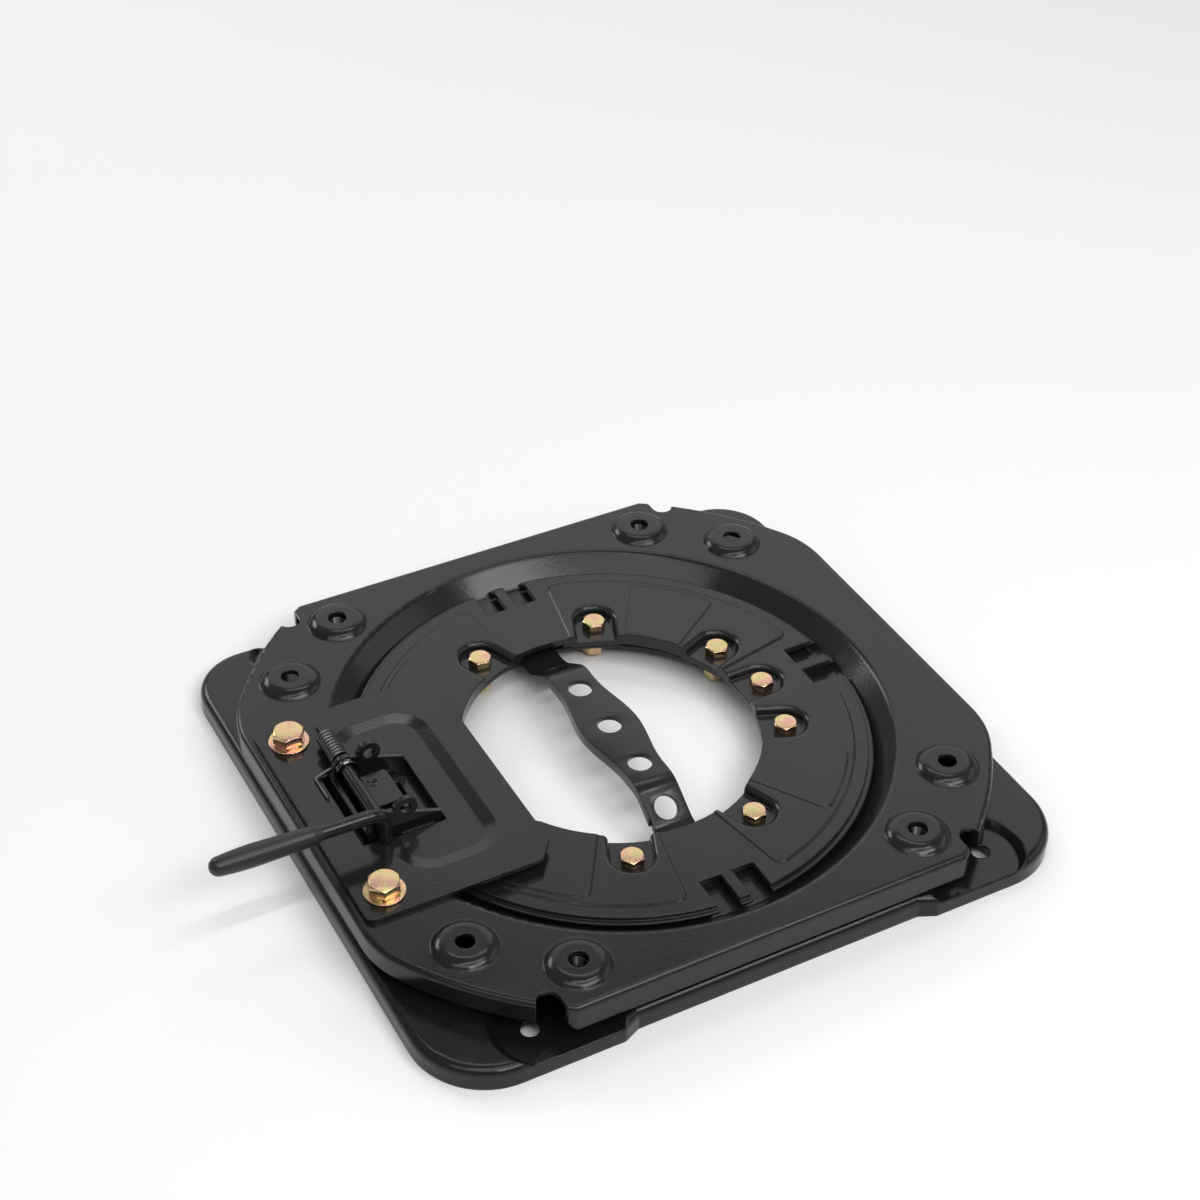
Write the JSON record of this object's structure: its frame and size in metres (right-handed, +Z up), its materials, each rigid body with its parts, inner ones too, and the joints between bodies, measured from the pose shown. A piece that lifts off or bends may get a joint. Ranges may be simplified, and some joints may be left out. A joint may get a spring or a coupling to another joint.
{
  "type": "swivel seat base",
  "caption": "Low steel seat swivel: a square base tray, a turning top plate on slide rings, a pressed clamp ring with a strap, and a sprung latch lever.",
  "frame": {"origin": "on the swivel axis at the level of the floor that the base tray stands on", "axes": "+Z up along the swivel axis, -X towards the latch and its lever, +Y along the cross strap"},
  "size_m": [0.4674, 0.3817, 0.0662],
  "materials": {
    "base_steel": "satin powder coat",
    "plate_steel": "satin powder coat",
    "ring_steel": "satin powder coat",
    "latch_steel": "satin powder coat",
    "yellow_zinc": "yellow zinc plate",
    "bare_steel": "bright",
    "spring_steel": "black",
    "slide_plastic": "smooth",
    "grip_plastic": "soft dipped vinyl"
  },
  "bodies": {
    "base": {"base_plate": "base_steel", "clamp_ring": "ring_steel", "cross_strap": "ring_steel", "spacer_ring": "ring_steel", "lower_slide_ring": "slide_plastic", "upper_slide_ring": "slide_plastic", "ring_bolt_01": "yellow_zinc", "ring_bolt_02": "yellow_zinc", "ring_bolt_03": "yellow_zinc", "ring_bolt_04": "yellow_zinc", "ring_bolt_05": "yellow_zinc", "ring_bolt_06": "yellow_zinc", "ring_bolt_07": "yellow_zinc", "ring_bolt_08": "yellow_zinc", "ring_bolt_09": "yellow_zinc", "ring_bolt_10": "yellow_zinc", "ring_nut_01": "yellow_zinc", "ring_nut_02": "yellow_zinc", "ring_nut_03": "yellow_zinc", "ring_nut_04": "yellow_zinc", "ring_nut_05": "yellow_zinc", "ring_nut_06": "yellow_zinc", "ring_nut_07": "yellow_zinc", "ring_nut_08": "yellow_zinc", "ring_nut_09": "yellow_zinc", "ring_nut_10": "yellow_zinc"},
    "turntable": {"top_plate": "plate_steel", "weld_nut_1": "bare_steel", "weld_nut_2": "bare_steel", "weld_nut_3": "bare_steel", "weld_nut_4": "bare_steel", "latch_plate": "latch_steel", "latch_bracket": "latch_steel", "latch_bolt_front": "yellow_zinc", "latch_bolt_rear": "yellow_zinc", "latch_washer_front": "yellow_zinc", "latch_washer_rear": "yellow_zinc", "latch_nut_front": "bare_steel", "latch_nut_rear": "bare_steel", "return_spring": "spring_steel"},
    "lever": {"lever_rod": "latch_steel", "axle": "latch_steel", "axle_collar": "bare_steel", "pawl": "latch_steel", "grip": "grip_plastic"}
  },
  "joints": [
    {"name": "swivel", "type": "hinge", "parent": "base", "child": "turntable", "pos_m": [0, 0, 0.0186], "axis": [0, 0, 1], "continuous": true},
    {"name": "latch_lever", "type": "hinge", "parent": "turntable", "child": "lever", "pos_m": [-0.162, 0, 0.046], "axis": [0, -1, 0], "range_deg": [0, 15], "stiffness_Nm_per_rad": 1.5, "springref_deg": -17.19}
  ]
}
